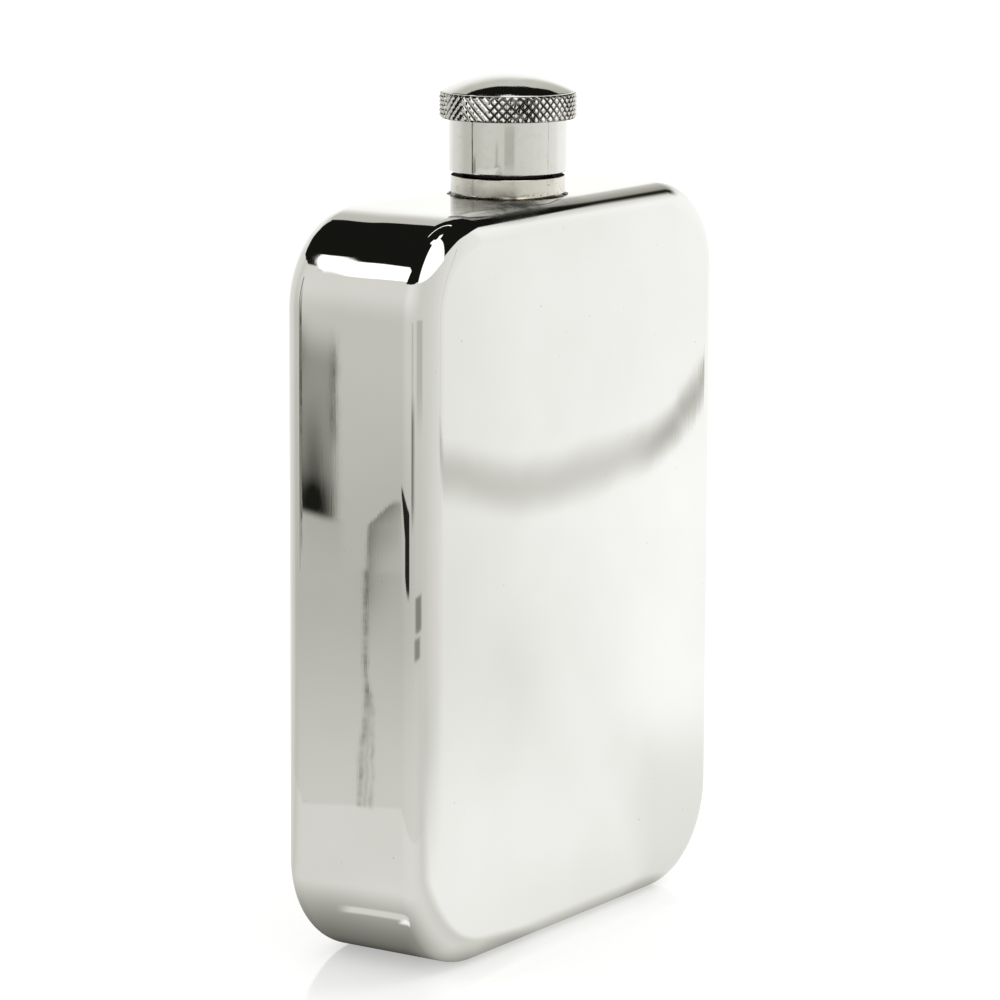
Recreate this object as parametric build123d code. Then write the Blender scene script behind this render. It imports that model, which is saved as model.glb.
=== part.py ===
"""Hip flask: a soldered sheet-metal body with a screw cap on a threaded neck.

Frame: millimetres, +Z up, the origin at the middle of the flat base.
X runs across the broad faces, Y through the depth, and the front face is at -Y.
"""
import math
import os

from build123d import *

# body, outside
BODY_HEIGHT = 106.0
BODY_WIDTH = 77.4
BODY_DEPTH = 25.2
TOP_CORNER_RADIUS = 13.4
BOTTOM_CORNER_RADIUS = 14.7
FACE_EDGE_RADIUS = 4.2
SHEET = 0.8

# lap joint between the pressed shells and the side band
SEAM_Y = BODY_DEPTH / 2 - FACE_EDGE_RADIUS
TONGUE_SHEET = 0.6
TONGUE_GAP = 0.05
TONGUE_START_Y = SEAM_Y - 1.0
TONGUE_END_Y = SEAM_Y + 1.4
SEAM_SOLDER_WIDTH = 0.6

# neck, heights above the top of the body
COLLAR_RADIUS = 8.2
COLLAR_HEIGHT = 2.75
SOLDER_REACH = 0.6
SOLDER_HEIGHT = 0.5
NECK_BORE_RADIUS = 5.3
NECK_ROOT_RADIUS = 6.3
NECK_HEIGHT = 12.0
NECK_FLANGE_RADIUS = 7.3
NECK_FLANGE_THICKNESS = 0.8
NECK_FIT_GAP = 0.05
RIM_ROUND = 0.25

# thread
THREAD_PITCH = 2.5
THREAD_DEPTH = 0.7
THREAD_CLEARANCE = 0.15
THREAD_BASE_WIDTH = 1.2
THREAD_CREST_WIDTH = 0.5
THREAD_SINK = 0.25
NECK_THREAD_START = 4.9
NECK_THREAD_TURNS = 2.25
LINER_THREAD_START = 6.15
LINER_THREAD_TURNS = 1.6

# cap, heights above the top of the body
CAP_BOTTOM = 3.3
SKIRT_RADIUS = 8.42
SKIRT_WALL = 0.7
SKIRT_CHAMFER = 0.25
PRESSED_GAP = 0.02
LINER_BOTTOM = 3.9
LINER_WALL = 0.55
LINER_TOP_THICKNESS = 0.8
WASHER_RADIUS = 7.0
WASHER_THICKNESS = 1.4
WASHER_HEADROOM = 0.05
RING_BOTTOM = 10.9
RING_TOP = 14.55
RING_RADIUS = 9.85
RING_CHAMFER = 0.35
KNURL_COUNT = 50
KNURL_DEPTH = 0.38
KNURL_ROW_HEIGHT = 0.62
DOME_RADIUS = 9.5
DOME_RISE = 2.45
DOME_SHEET = 0.8
DOME_STEP = 0.15


def rounded_box(inset):
    """The body's outer shape, shrunk by inset on every side."""
    outline = Plane.XZ * Rectangle(BODY_WIDTH - 2 * inset, BODY_HEIGHT - 2 * inset)
    corners = outline.vertices().sort_by(Axis.Z)
    outline = fillet(corners[:2], BOTTOM_CORNER_RADIUS - inset)
    corners = outline.vertices().sort_by(Axis.Z)
    outline = fillet(corners[-2:], TOP_CORNER_RADIUS - inset)
    block = extrude(outline, amount=BODY_DEPTH / 2 - inset, both=True)
    rims = block.edges().filter_by_position(Axis.Y, BODY_DEPTH / 2 - inset, BODY_DEPTH)
    rims += block.edges().filter_by_position(Axis.Y, -BODY_DEPTH, inset - BODY_DEPTH / 2)
    block = fillet(rims, FACE_EDGE_RADIUS - inset)
    return Pos(0, 0, BODY_HEIGHT / 2) * block


def sheet_layer(outer_inset, inner_inset, low_y, high_y):
    """The sheet between two insets, kept between two depths."""
    slab = Pos(0, (low_y + high_y) / 2, BODY_HEIGHT / 2) * Box(
        2 * BODY_WIDTH, high_y - low_y, 2 * BODY_HEIGHT
    )
    return (rounded_box(outer_inset) - rounded_box(inner_inset)) & slab


def turned_face(face):
    """A solid turned about the neck's axis from a flat face of (radius, height above the body)."""
    return Pos(0, 0, BODY_HEIGHT) * revolve(Plane.XZ * face, Axis.Z)


def turned(profile):
    """A solid turned about the neck's axis from (radius, height above the body) points."""
    return turned_face(Polygon(*profile, align=None))


def front_shell():
    """The pressed front face with its rounded edge."""
    return sheet_layer(0, SHEET, -BODY_DEPTH, -SEAM_Y)


def back_shell():
    """The pressed back face with its rounded edge."""
    return sheet_layer(0, SHEET, SEAM_Y, BODY_DEPTH)


def side_band():
    """The strip round the sides, base and top, with a stepped tongue under each shell."""
    band = sheet_layer(0, SHEET, -SEAM_Y, SEAM_Y)
    for side in (-1, 1):
        under_band = sorted((side * TONGUE_START_Y, side * SEAM_Y))
        under_shell = sorted((side * SEAM_Y, side * TONGUE_END_Y))
        inner = SHEET + TONGUE_SHEET
        band += sheet_layer(SHEET, inner, *under_band)
        band += sheet_layer(SHEET + TONGUE_GAP, inner, *under_shell)
    hole_radius = NECK_ROOT_RADIUS + NECK_FIT_GAP
    neck_hole = Pos(0, 0, BODY_HEIGHT) * Cylinder(hole_radius, 10)
    return band - neck_hole


def seam_solder(side):
    """The bead of solder that seals the end of a tongue against its shell."""
    depths = sorted((side * TONGUE_END_Y, side * (TONGUE_END_Y + SEAM_SOLDER_WIDTH)))
    return sheet_layer(SHEET, SHEET + TONGUE_SHEET, *depths)


def thread_ridge(wall_radius, outward, start, turns):
    """A right-hand helical ridge on a round wall, with its foot sunk into the wall."""
    path = Helix(THREAD_PITCH, THREAD_PITCH * turns, wall_radius)
    flank_slope = (THREAD_BASE_WIDTH - THREAD_CREST_WIDTH) / 2 / THREAD_DEPTH
    foot = wall_radius - THREAD_SINK * outward
    crest = wall_radius + THREAD_DEPTH * outward
    half_foot = THREAD_BASE_WIDTH / 2 + flank_slope * THREAD_SINK
    half_crest = THREAD_CREST_WIDTH / 2
    points = [(foot, -half_foot), (crest, -half_crest), (crest, half_crest), (foot, half_foot)]
    section = Plane.XZ * Polygon(*points[::outward], align=None)
    ridge = sweep(section, path=path, is_frenet=True)
    return Pos(0, 0, BODY_HEIGHT + start) * ridge


def neck_tube():
    """The threaded neck, with a flange under the top of the side band."""
    flange_top = -SHEET
    flange_bottom = -SHEET - NECK_FLANGE_THICKNESS
    profile = [
        (NECK_BORE_RADIUS, flange_bottom),
        (NECK_FLANGE_RADIUS, flange_bottom),
        (NECK_FLANGE_RADIUS, flange_top),
        (NECK_ROOT_RADIUS, flange_top),
        (NECK_ROOT_RADIUS, NECK_HEIGHT - RIM_ROUND),
        (NECK_ROOT_RADIUS - RIM_ROUND, NECK_HEIGHT),
        (NECK_BORE_RADIUS + RIM_ROUND, NECK_HEIGHT),
        (NECK_BORE_RADIUS, NECK_HEIGHT - RIM_ROUND),
    ]
    ridge = thread_ridge(NECK_ROOT_RADIUS, 1, NECK_THREAD_START, NECK_THREAD_TURNS)
    return turned(profile) + ridge


def neck_collar():
    """The plain ring round the foot of the neck."""
    inner = NECK_ROOT_RADIUS + NECK_FIT_GAP
    edge = 0.2
    profile = [
        (inner, 0),
        (COLLAR_RADIUS, 0),
        (COLLAR_RADIUS, COLLAR_HEIGHT - edge),
        (COLLAR_RADIUS - edge, COLLAR_HEIGHT),
        (inner, COLLAR_HEIGHT),
    ]
    return turned(profile)


def collar_solder():
    """The concave fillet of solder round the foot of the collar."""
    reach = COLLAR_RADIUS + SOLDER_REACH
    edge = 0.04
    middle = 1 - math.sqrt(0.5)
    hollow = ThreePointArc(
        (reach, edge),
        (COLLAR_RADIUS + SOLDER_REACH * middle, edge + (SOLDER_HEIGHT - edge) * middle),
        (COLLAR_RADIUS, SOLDER_HEIGHT),
    )
    foot = Polyline((COLLAR_RADIUS, SOLDER_HEIGHT), (COLLAR_RADIUS, 0), (reach, 0), (reach, edge))
    return turned_face(make_face([hollow, foot]))


def seal_washer():
    """The soft disc that the cap presses onto the rim of the neck."""
    washer = Cylinder(WASHER_RADIUS, WASHER_THICKNESS)
    washer = chamfer(washer.edges().filter_by(GeomType.CIRCLE), 0.15)
    return Pos(0, 0, BODY_HEIGHT + NECK_HEIGHT + WASHER_THICKNESS / 2) * washer


def thread_liner():
    """The threaded cup inside the cap."""
    root = NECK_ROOT_RADIUS + THREAD_DEPTH + THREAD_CLEARANCE
    outer = root + LINER_WALL
    ceiling = NECK_HEIGHT + WASHER_THICKNESS + WASHER_HEADROOM
    profile = [
        (root, LINER_BOTTOM),
        (outer, LINER_BOTTOM),
        (outer, ceiling + LINER_TOP_THICKNESS),
        (0, ceiling + LINER_TOP_THICKNESS),
        (0, ceiling),
        (root, ceiling),
    ]
    ridge = thread_ridge(root, -1, LINER_THREAD_START, LINER_THREAD_TURNS)
    return turned(profile) + ridge


def cap_skirt():
    """The smooth outer sleeve of the cap, which runs up inside the knurled ring."""
    inner = SKIRT_RADIUS - SKIRT_WALL
    profile = [
        (inner, CAP_BOTTOM),
        (SKIRT_RADIUS - SKIRT_CHAMFER, CAP_BOTTOM),
        (SKIRT_RADIUS, CAP_BOTTOM + SKIRT_CHAMFER),
        (SKIRT_RADIUS, RING_TOP),
        (inner, RING_TOP),
    ]
    return turned(profile)


def knurl_point(column, row):
    """A corner or a peak of the diamond pattern, counted in half steps round and half rows up."""
    turn = math.pi * column / KNURL_COUNT
    is_peak = (column + row) % 2 == 0
    radius = RING_RADIUS if is_peak else RING_RADIUS - KNURL_DEPTH
    height = RING_BOTTOM - 0.2 + KNURL_ROW_HEIGHT * row
    return Vector(radius * math.cos(turn), radius * math.sin(turn), BODY_HEIGHT + height)


def knurl_cell(column, row):
    """The two facets between four neighbouring points, split along the groove."""
    low_left = knurl_point(column, row)
    low_right = knurl_point(column + 1, row)
    high_left = knurl_point(column, row + 1)
    high_right = knurl_point(column + 1, row + 1)
    if (column + row) % 2 == 0:
        return [(low_left, low_right, high_left), (low_right, high_right, high_left)]
    return [(low_left, low_right, high_right), (low_left, high_right, high_left)]


def flat_facet(points):
    """A flat face through a closed loop of points."""
    return Face(Wire.make_polygon(points))


def knurled_blank():
    """A round block whose wall is covered in pointed diamonds."""
    rows = math.ceil((RING_TOP - RING_BOTTOM + 0.4) / KNURL_ROW_HEIGHT)
    columns = range(2 * KNURL_COUNT)
    facets = []
    for row in range(rows):
        for column in columns:
            facets += [flat_facet(cell) for cell in knurl_cell(column, row)]
    facets.append(flat_facet([knurl_point(column, 0) for column in columns]))
    facets.append(flat_facet([knurl_point(column, rows) for column in columns]))
    return Solid(Shell(facets))


def knurled_ring():
    """The grip ring pressed onto the cap's sleeve."""
    inner = SKIRT_RADIUS + PRESSED_GAP
    profile = [
        (inner, RING_BOTTOM),
        (RING_RADIUS - RING_CHAMFER, RING_BOTTOM),
        (RING_RADIUS + 0.01, RING_BOTTOM + RING_CHAMFER),
        (RING_RADIUS + 0.01, RING_TOP - RING_CHAMFER),
        (RING_RADIUS - RING_CHAMFER, RING_TOP),
        (inner, RING_TOP),
    ]
    return turned(profile) & knurled_blank()


def cap_dome():
    """The gently domed top of the cap, hollow underneath."""
    sphere_radius = (DOME_RADIUS**2 + DOME_RISE**2) / (2 * DOME_RISE)
    base = RING_TOP + DOME_STEP
    centre = base + DOME_RISE - sphere_radius
    inner_radius = sphere_radius - DOME_SHEET
    under_edge = math.sqrt(inner_radius**2 - (RING_TOP - centre) ** 2)
    half_way = math.asin(DOME_RADIUS / sphere_radius) / 2
    outside = ThreePointArc(
        (DOME_RADIUS, base),
        (sphere_radius * math.sin(half_way), centre + sphere_radius * math.cos(half_way)),
        (0, base + DOME_RISE),
    )
    inside = ThreePointArc(
        (0, base + DOME_RISE - DOME_SHEET),
        (inner_radius * math.sin(half_way), centre + inner_radius * math.cos(half_way)),
        (under_edge, RING_TOP),
    )
    middle = Line((0, base + DOME_RISE), (0, base + DOME_RISE - DOME_SHEET))
    rim = Polyline(
        (under_edge, RING_TOP),
        (DOME_RADIUS - 0.1, RING_TOP),
        (DOME_RADIUS, RING_TOP + 0.1),
        (DOME_RADIUS, base),
    )
    return turned_face(make_face([outside, middle, inside, rim]))


PIECES = {
    "front_shell": front_shell,
    "back_shell": back_shell,
    "side_band": side_band,
    "front_seam_solder": lambda: seam_solder(-1),
    "back_seam_solder": lambda: seam_solder(1),
    "neck_tube": neck_tube,
    "neck_collar": neck_collar,
    "collar_solder": collar_solder,
    "seal_washer": seal_washer,
    "thread_liner": thread_liner,
    "cap_skirt": cap_skirt,
    "knurled_ring": knurled_ring,
    "cap_dome": cap_dome,
}

os.makedirs("parts", exist_ok=True)
for name, make in PIECES.items():
    export_step(make(), "parts/" + name + ".step")
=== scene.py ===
"""A polished hip flask with a screw cap, in a small white photo tent."""
import math
import random
from math import cos, radians, sin

import bmesh
import bpy
import numpy as np
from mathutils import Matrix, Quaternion, Vector, noise


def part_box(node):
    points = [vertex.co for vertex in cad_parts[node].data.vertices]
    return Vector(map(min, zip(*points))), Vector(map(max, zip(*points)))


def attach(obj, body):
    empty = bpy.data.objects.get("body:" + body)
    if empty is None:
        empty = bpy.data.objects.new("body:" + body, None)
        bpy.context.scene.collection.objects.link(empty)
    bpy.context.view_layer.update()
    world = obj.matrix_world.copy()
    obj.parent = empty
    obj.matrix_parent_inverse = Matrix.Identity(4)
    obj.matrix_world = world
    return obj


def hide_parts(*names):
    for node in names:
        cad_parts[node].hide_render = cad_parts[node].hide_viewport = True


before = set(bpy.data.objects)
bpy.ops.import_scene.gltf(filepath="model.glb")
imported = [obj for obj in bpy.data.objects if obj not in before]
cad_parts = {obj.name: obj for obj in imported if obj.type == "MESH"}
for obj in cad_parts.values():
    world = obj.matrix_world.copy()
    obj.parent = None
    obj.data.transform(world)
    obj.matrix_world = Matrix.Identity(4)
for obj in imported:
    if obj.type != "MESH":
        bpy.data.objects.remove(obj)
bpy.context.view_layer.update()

MM = 0.001

# the body's sizes, read from the frame
shell_lo, shell_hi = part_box("front_shell")
HALF_WIDTH = shell_hi.x
HEIGHT = shell_hi.z
HALF_DEPTH = -shell_lo.y
SEAM_Y = -shell_hi.y
EDGE_RADIUS = HALF_DEPTH - SEAM_Y
TOP_CORNER = 13.4 * MM
BOTTOM_CORNER = 14.7 * MM
SHEET = 0.8 * MM
CROWN = 0.1 * MM

# how uneven the hand-finished corners are
DENT_DEPTH = 0.05 * MM
DENT_SIZE = 5.5 * MM

# the corners at the base are dented less
BASE_DENTS = 0.6

# how finely the pieces are built
CORNER_STEPS = 48
EDGE_STEPS = 30
BAND_STEPS = 40
STRAIGHT_STEPS = 22
STRAIGHT_END = 0.15 * MM
SEAM_FLAT = 0.02 * MM
TURN_STEPS = 288
THREAD_STEPS = 192
HOLE_STEPS = 96
SHARP_ANGLE = 35
# the rings over a broad face, as shares of its rim
FACE_RINGS = [0.997, 0.985, 0.965] + [0.94 - 0.04 * k for k in range(23)]


def put(name, data):
    """A new object in the scene."""
    made = bpy.data.objects.new(name, data)
    bpy.context.scene.collection.objects.link(made)
    return made


def size_of(node):
    """A turned node's radius, and its bottom and top above the top of the body."""
    lo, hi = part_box(node)
    return hi.x, lo.z - HEIGHT, hi.z - HEIGHT


def spread(start, end, count, tight):
    """Values from start to end, with one value a tight step inside each end."""
    step = tight * (1 if end > start else -1)
    inner = [start + step + (end - start - 2 * step) * k / count for k in range(count + 1)]
    return [start] + inner + [end]


def outline(inset):
    """The body's outline in X and Z, shrunk by inset, always with the same number of points."""
    corners = [
        (-1, -1, BOTTOM_CORNER, 180),
        (1, -1, BOTTOM_CORNER, 270),
        (1, 1, TOP_CORNER, 0),
        (-1, 1, TOP_CORNER, 90),
    ]
    arcs = []
    for side_x, side_z, radius, start in corners:
        centre_x = side_x * (HALF_WIDTH - radius)
        centre_z = radius if side_z < 0 else HEIGHT - radius
        arc = []
        for k in range(CORNER_STEPS + 1):
            turn = radians(start + 90 * k / CORNER_STEPS)
            reach = radius - inset
            arc.append((centre_x + reach * cos(turn), centre_z + reach * sin(turn)))
        arcs.append(arc)
    points = []
    for number, arc in enumerate(arcs):
        points += arc
        last, following = arc[-1], arcs[(number + 1) % 4][0]
        length = math.dist(last, following)
        for share in spread(0, 1, STRAIGHT_STEPS, STRAIGHT_END / length)[1:-1]:
            points.append(tuple(a + (b - a) * share for a, b in zip(last, following)))
    return points


def corner_weights():
    """How much each outline point may be dented: 1 in the middle of a corner, 0 on the flats."""
    weights = []
    for number in range(4):
        strength = BASE_DENTS if number < 2 else 1
        for k in range(CORNER_STEPS + 1):
            weights.append(strength * sin(math.pi * k / CORNER_STEPS) ** 0.5)
        weights += [0] * (STRAIGHT_STEPS + 1)
    return weights


CORNER_WEIGHTS = corner_weights()


def dented(ring):
    """A ring of the outer skin with its corners slightly dented inwards."""
    points = []
    for (x, y, z), weight in zip(ring, CORNER_WEIGHTS):
        spot = Vector((x, y, z)) / DENT_SIZE
        depth = DENT_DEPTH * weight * (0.5 + 0.5 * noise.noise(spot))
        centre_x = math.copysign(HALF_WIDTH - TOP_CORNER, x)
        centre_z = HEIGHT - TOP_CORNER if z > HEIGHT / 2 else BOTTOM_CORNER
        out = Vector((x - centre_x, 0, z - centre_z)).normalized() if weight else Vector()
        points.append((x - out.x * depth, y, z - out.z * depth))
    return points


def shell_rings(side, gap):
    """Rings of points from the seam over the rounded edge and in over the face.

    side is -1 for the front and 1 for the back, and gap is how far inside the skin they lie."""
    rings = [[(x, side * SEAM_Y, z) for x, z in outline(gap)]]
    reach = EDGE_RADIUS - gap
    bulge = reach - CROWN - SEAM_FLAT
    for k in range(EDGE_STEPS + 1):
        turn = radians(90 * k / EDGE_STEPS)
        inset = gap + reach * (1 - cos(turn))
        y = side * (SEAM_Y + SEAM_FLAT + bulge * sin(turn))
        rings.append([(x, y, z) for x, z in outline(inset)])
    rim = outline(EDGE_RADIUS)
    middle = HEIGHT / 2
    for share in FACE_RINGS:
        y = side * (HALF_DEPTH - gap - CROWN + CROWN * (1 - share**2) ** 2)
        rings.append([(x * share, y, middle + (z - middle) * share) for x, z in rim])
    return rings


def make_object(name, vertices, faces, sharp_angle=SHARP_ANGLE):
    """A smooth-shaded mesh object with outward faces and sharp creases where it turns hard."""
    mesh = bpy.data.meshes.new(name)
    mesh.from_pydata(vertices, [], faces)
    build = bmesh.new()
    build.from_mesh(mesh)
    bmesh.ops.recalc_face_normals(build, faces=build.faces)
    build.to_mesh(mesh)
    build.free()
    mesh.shade_smooth()
    mesh.set_sharp_from_angle(angle=radians(sharp_angle))
    return put(name, mesh)


def ring_faces(count, first, second):
    """The quads between two rings of count points that start at first and second."""
    return [
        (first + k, first + (k + 1) % count, second + (k + 1) % count, second + k)
        for k in range(count)
    ]


def stack(rings, closed=False):
    """Points and quads of rings laid one after another, joined round if closed."""
    count = len(rings[0])
    vertices = [point for ring in rings for point in ring]
    faces = []
    pairs = len(rings) if closed else len(rings) - 1
    for k in range(pairs):
        faces += ring_faces(count, k * count, (k + 1) % len(rings) * count)
    return vertices, faces


def fan(start, count, tip):
    """The triangles from a ring to a tip."""
    return [(start + k, start + (k + 1) % count, tip) for k in range(count)]


def face_shell(name, node, side):
    """A pressed face with its rounded edge, as a closed sheet."""
    outer = [dented(ring) for ring in shell_rings(side, 0)]
    inner = shell_rings(side, SHEET)
    vertices, faces = stack(inner[::-1] + outer)
    count = len(outer[0])
    last = len(vertices) - count
    for start, gap in ((0, SHEET), (last, 0)):
        vertices.append((0, side * (HALF_DEPTH - gap), HEIGHT / 2))
        faces += fan(start, count, len(vertices) - 1)
    piece = make_object(name, vertices, faces)
    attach(piece, "flask")
    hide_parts(node)
    return piece


def turned(name, node, profile, body, slot, segments=TURN_STEPS, wobble=None, sharp_angle=SHARP_ANGLE):
    """The finer mesh of a node, turned about the neck's axis from (radius, z) points above the body.

    A profile whose ends lie on the axis is closed there. wobble(angle, index) may shift a point."""
    profile = [(radius, HEIGHT + z) for radius, z in profile]
    on_axis = profile[0][0] == 0
    body_profile = profile[1:-1] if on_axis else profile
    rings = []
    for number, (radius, z) in enumerate(body_profile):
        ring = []
        for k in range(segments):
            turn = 2 * math.pi * k / segments
            extra, lift = wobble(turn, number) if wobble else (0, 0)
            reach = radius + extra
            ring.append((reach * cos(turn), reach * sin(turn), z + lift))
        rings.append(ring)
    vertices, faces = stack(rings, closed=not on_axis)
    if on_axis:
        last = (len(rings) - 1) * segments
        for start, z in ((0, profile[0][1]), (last, profile[-1][1])):
            vertices.append((0, 0, z))
            faces += fan(start, segments, len(vertices) - 1)
    piece = make_object(name, vertices, faces, sharp_angle)
    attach(piece, body)
    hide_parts(node)
    return piece


def arc(centre, radius, start, end, steps):
    """(radius, z) points on an arc, with angles in degrees."""
    points = []
    for k in range(steps + 1):
        turn = radians(start + (end - start) * k / steps)
        points.append((centre[0] + radius * cos(turn), centre[1] + radius * sin(turn)))
    return points


def eased(corner, before, after, size, steps=4):
    """A corner of a profile rounded between the points before and after it."""
    corner, before, after = Vector(corner), Vector(before), Vector(after)
    start = corner + (before - corner).normalized() * size
    end = corner + (after - corner).normalized() * size
    points = []
    for k in range(steps + 1):
        share = k / steps
        point = start * (1 - share) ** 2 + corner * 2 * share * (1 - share) + end * share**2
        points.append((point.x, point.y))
    return points


def eased_profile(corners):
    """A closed profile from (radius, z, rounding) corners."""
    points = []
    for k, (radius, z, size) in enumerate(corners):
        before = corners[k - 1][:2]
        after = corners[(k + 1) % len(corners)][:2]
        if size:
            points += eased((radius, z), before, after, size)
        else:
            points.append((radius, z))
    return points


def cut(piece, cutter):
    """Subtracts one mesh from another for good and removes the cutter."""
    modifier = piece.modifiers.new("cut", "BOOLEAN")
    modifier.operation = "DIFFERENCE"
    modifier.solver = "EXACT"
    modifier.object = cutter
    bpy.context.view_layer.update()
    graph = bpy.context.evaluated_depsgraph_get()
    result = bpy.data.meshes.new_from_object(piece.evaluated_get(graph))
    piece.modifiers.clear()
    piece.data = result
    bpy.data.objects.remove(cutter)
    result.shade_smooth()
    result.set_sharp_from_angle(angle=radians(SHARP_ANGLE))


# the neck and its thread: each thread has its start above the body and its number of turns
NECK_ROOT = 6.3 * MM
NECK_BORE = 5.3 * MM
NECK_WALL = 3.0 * MM
FLANGE_FOOT = -1.6 * MM
RIM_ROUND = 0.25 * MM
THREAD_PITCH = 2.5 * MM
THREAD_DEPTH = 0.7 * MM
THREAD_BASE = 1.2 * MM
THREAD_CREST = 0.5 * MM
NECK_THREAD = (4.9 * MM, 2.25)
LINER_THREAD = (6.15 * MM, 1.6)
THREAD_RUN_OUT = 0.06
THREAD_ROW = 0.06 * MM
NECK_ROWS = 142
LINER_ROWS = 130
LINER_WALL = 0.55 * MM
LINER_ROOF = 0.8 * MM
LINER_LIP = 0.1 * MM

# the sleeve and dome of the cap
SKIRT_SHEET = 0.7 * MM
DOME_SHEET = 0.8 * MM
DOME_EDGE = 0.15 * MM
DOME_ROUND = 0.14 * MM
DOME_UNDERCUT = 0.06 * MM

# the tongues of the band under the shells
TONGUE_GAP = 0.05 * MM
TONGUE_SHEET = 0.6 * MM
TONGUE_LAP = 1.0 * MM
TONGUE_REACH = 1.4 * MM
TONGUE_STEPS = 6
# how far the neck's hole is cut above and below the top of the body
HOLE_REACH = 3 * MM


def tongue_inset(reach, gap):
    """How far a tongue's face lies inside the body's outline, a reach past the seam."""
    radius = EDGE_RADIUS - gap
    return EDGE_RADIUS - math.sqrt(radius**2 - reach**2)


def circle(radius, z, count):
    """Points round the neck's axis."""
    turns = [math.tau * k / count for k in range(count)]
    return [(radius * cos(turn), radius * sin(turn), z) for turn in turns]


def make_side_band():
    """The strip round the sides, base and top, with a tongue under each shell."""
    outer_gap = SHEET + TONGUE_GAP
    inner_gap = SHEET + TONGUE_SHEET
    lap = [TONGUE_REACH * k / TONGUE_STEPS for k in range(TONGUE_STEPS + 1)]
    edge = [(SEAM_Y + reach, tongue_inset(reach, outer_gap)) for reach in lap]
    edge += [(SEAM_Y + reach, tongue_inset(reach, inner_gap)) for reach in reversed(lap)]
    edge += [(SEAM_Y - TONGUE_LAP, inner_gap), (SEAM_Y - TONGUE_LAP, SHEET)]
    skin = [(y, 0) for y in spread(-SEAM_Y, SEAM_Y, BAND_STEPS, SEAM_FLAT)]
    section = skin + edge + [(-y, inset) for y, inset in reversed(edge)]
    rings = [[(x, y, z) for x, z in outline(inset)] for y, inset in section]
    rings = [dented(ring) for ring in rings[: len(skin)]] + rings[len(skin) :]
    piece = make_object("side_band_skin", *stack(rings, closed=True))
    radius = NECK_ROOT + TONGUE_GAP
    hole = [circle(radius, HEIGHT + z, HOLE_STEPS) for z in (-HOLE_REACH, HOLE_REACH)]
    vertices, faces = stack(hole)
    faces += [tuple(range(HOLE_STEPS)), tuple(range(HOLE_STEPS, 2 * HOLE_STEPS))]
    cut(piece, make_object("hole", vertices, faces))
    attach(piece, "flask")
    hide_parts("side_band")
    return piece


def thread_height(turn, z, start, turns):
    """How proud a right-hand thread stands at an angle and height, from 0 to 1."""
    height = 0
    for lap in range(math.ceil(turns) + 1):
        along = turn / math.tau + lap
        if along > turns:
            break
        off = abs(z - start - THREAD_PITCH * along)
        share = (THREAD_BASE / 2 - off) / (THREAD_BASE / 2 - THREAD_CREST / 2)
        run_out = min(along, turns - along) / THREAD_RUN_OUT
        height = max(height, min(1, share) * min(1, run_out))
    return max(0, height)


def threaded(name, node, profile, body, first, rows, thread, depth):
    """A turned piece whose profile carries a thread on some rows from the first on."""
    skipped = 1 if profile[0][0] == 0 else 0

    def proud(turn, number):
        number += skipped
        on_wall = first <= number < first + rows
        height = thread_height(turn, profile[number][1], *thread) if on_wall else 0
        return depth * height, 0

    return turned(name, node, profile, body, "neck_metal", THREAD_STEPS, proud)


def make_neck_tube():
    """The threaded neck with its flange."""
    flange, _, top = size_of("neck_tube")
    profile = [(NECK_BORE, FLANGE_FOOT), (flange, FLANGE_FOOT), (flange, -SHEET), (NECK_ROOT, -SHEET)]
    wall = ("flask", len(profile), NECK_ROWS, NECK_THREAD, THREAD_DEPTH)
    profile += [(NECK_ROOT, NECK_WALL + THREAD_ROW * k) for k in range(NECK_ROWS)]
    profile += arc((NECK_ROOT - RIM_ROUND, top - RIM_ROUND), RIM_ROUND, 0, 90, 6)
    profile += arc((NECK_BORE + RIM_ROUND, top - RIM_ROUND), RIM_ROUND, 90, 180, 6)
    return threaded("threaded_neck", "neck_tube", profile, *wall)


def make_thread_liner():
    """The threaded cup inside the cap."""
    outer, bottom, top = size_of("thread_liner")
    ceiling = top - LINER_ROOF
    root = outer - LINER_WALL
    profile = [(0, top), (outer, top), (outer, bottom), (root, bottom)]
    wall = ("cap", len(profile), LINER_ROWS, LINER_THREAD, -THREAD_DEPTH)
    profile += [(root, bottom + LINER_LIP + THREAD_ROW * k) for k in range(LINER_ROWS)]
    profile += [(root, ceiling), (0, ceiling)]
    return threaded("cap_thread_liner", "thread_liner", profile, *wall)


def make_neck_collar():
    """The plain ring round the foot of the neck."""
    outer, _, height = size_of("neck_collar")
    inner = NECK_ROOT + TONGUE_GAP
    rounding = 0.2 * MM
    corners = [(inner, 0, 0), (outer, 0, 0), (outer, height, rounding), (inner, height, 0)]
    return turned("collar_ring", "neck_collar", eased_profile(corners), "flask", "collar_metal")


def make_collar_solder():
    """The uneven bead of solder round the foot of the collar."""
    collar = size_of("neck_collar")[0]
    edge, _, height = size_of("collar_solder")
    reach = edge - collar
    steps = 10
    segments = 360
    sharp = 60
    toe = 0.03 * MM
    profile = [(collar, 0)]
    for k in range(steps + 1):
        turn = radians(90 * k / steps)
        z = height * (1 - cos(turn)) + toe * (1 - k / steps)
        profile.append((collar + reach * (1 - sin(turn)), z))

    def uneven(turn, number):
        if number == 0:
            return 0, 0
        radius, z = profile[number]
        lumps, layer, narrowing, lowering = 4, 0.12, 0.6, 0.55
        spot = Vector((cos(turn) * lumps, sin(turn) * lumps, number * layer))
        run = 0.5 + 0.5 * noise.noise(spot)
        return -(radius - collar) * narrowing * run, -z * lowering * run

    names = ("collar_solder_bead", "collar_solder")
    return turned(*names, profile, "flask", "tin_solder", segments, uneven, sharp)


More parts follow.
